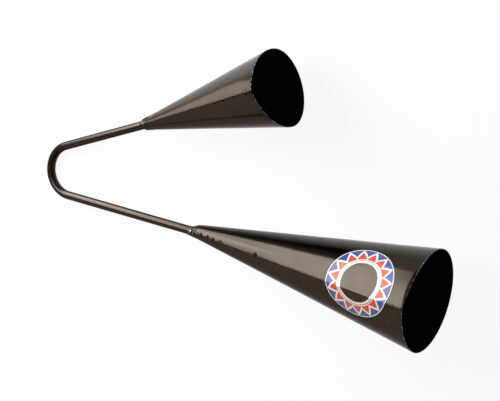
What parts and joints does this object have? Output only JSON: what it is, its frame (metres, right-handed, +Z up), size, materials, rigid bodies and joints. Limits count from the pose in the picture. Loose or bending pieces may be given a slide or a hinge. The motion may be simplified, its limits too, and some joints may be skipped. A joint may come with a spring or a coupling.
{
  "type": "agogo bell",
  "caption": "Double agogo: two conical bells of rolled and welded sheet steel on the ends of a bent steel rod, held by the rod and struck with a stick.",
  "frame": {"origin": "on the table that the bell lies on, below the middle of its bounding box", "axes": "+X from the rod's bend to the bells' mouths, +Z up from the table to the welded seams, +Y to the small bell"},
  "size_m": [0.4028, 0.2564, 0.0994],
  "materials": {
    "rod_paint": "satin brown-black paint",
    "bell_paint": "satin brown-black paint",
    "weld_paint": "satin brown-black paint over rough weld",
    "sticker_print": "printed vinyl film"
  },
  "bodies": {
    "root": {"handle_rod": "rod_paint", "small_bell": "bell_paint", "large_bell": "bell_paint", "small_bell_seam_weld": "weld_paint", "large_bell_seam_weld": "weld_paint", "small_neck_weld": "weld_paint", "large_neck_weld": "weld_paint", "sticker": "sticker_print"}
  },
  "joints": []
}
